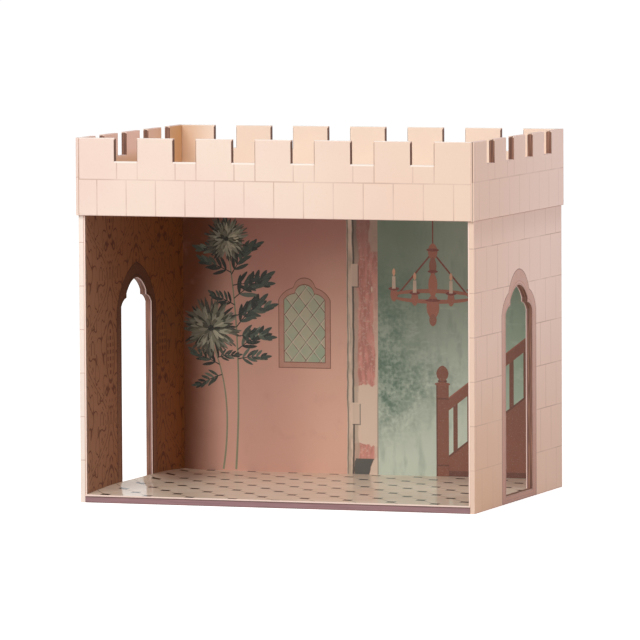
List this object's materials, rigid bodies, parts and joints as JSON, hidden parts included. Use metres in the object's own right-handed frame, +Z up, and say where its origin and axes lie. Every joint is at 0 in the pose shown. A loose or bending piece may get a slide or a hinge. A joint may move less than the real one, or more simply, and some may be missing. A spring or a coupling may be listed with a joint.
{
  "type": "cardboard castle",
  "caption": "Open-fronted cardboard castle room with an arched doorway in each side wall, printed lining cards and a battlemented roof tray.",
  "frame": {"origin": "middle of the footprint, on the ground under the floor board", "axes": "+X across the open front from left to right, -Y out of the open front, +Z up towards the battlements"},
  "size_m": [0.36, 0.253, 0.315],
  "materials": {
    "stone_board": "matte paper printed with pale masonry, brown cut edges",
    "mauve_board": "matte paper",
    "tile_card": "satin paper printed with octagon and dot tiles",
    "damask_card": "satin paper printed with a brown damask",
    "plaster_card": "satin paper printed as pink and green plaster"
  },
  "bodies": {
    "root": {"floor_board": "mauve_board", "floor_lining": "tile_card", "left_wall": "stone_board", "right_wall": "stone_board", "back_wall": "stone_board", "left_lining": "damask_card", "right_lining": "damask_card", "back_lining": "plaster_card", "roof_board": "stone_board", "parapet_front": "stone_board", "parapet_back": "stone_board", "parapet_left": "stone_board", "parapet_right": "stone_board"}
  },
  "joints": []
}
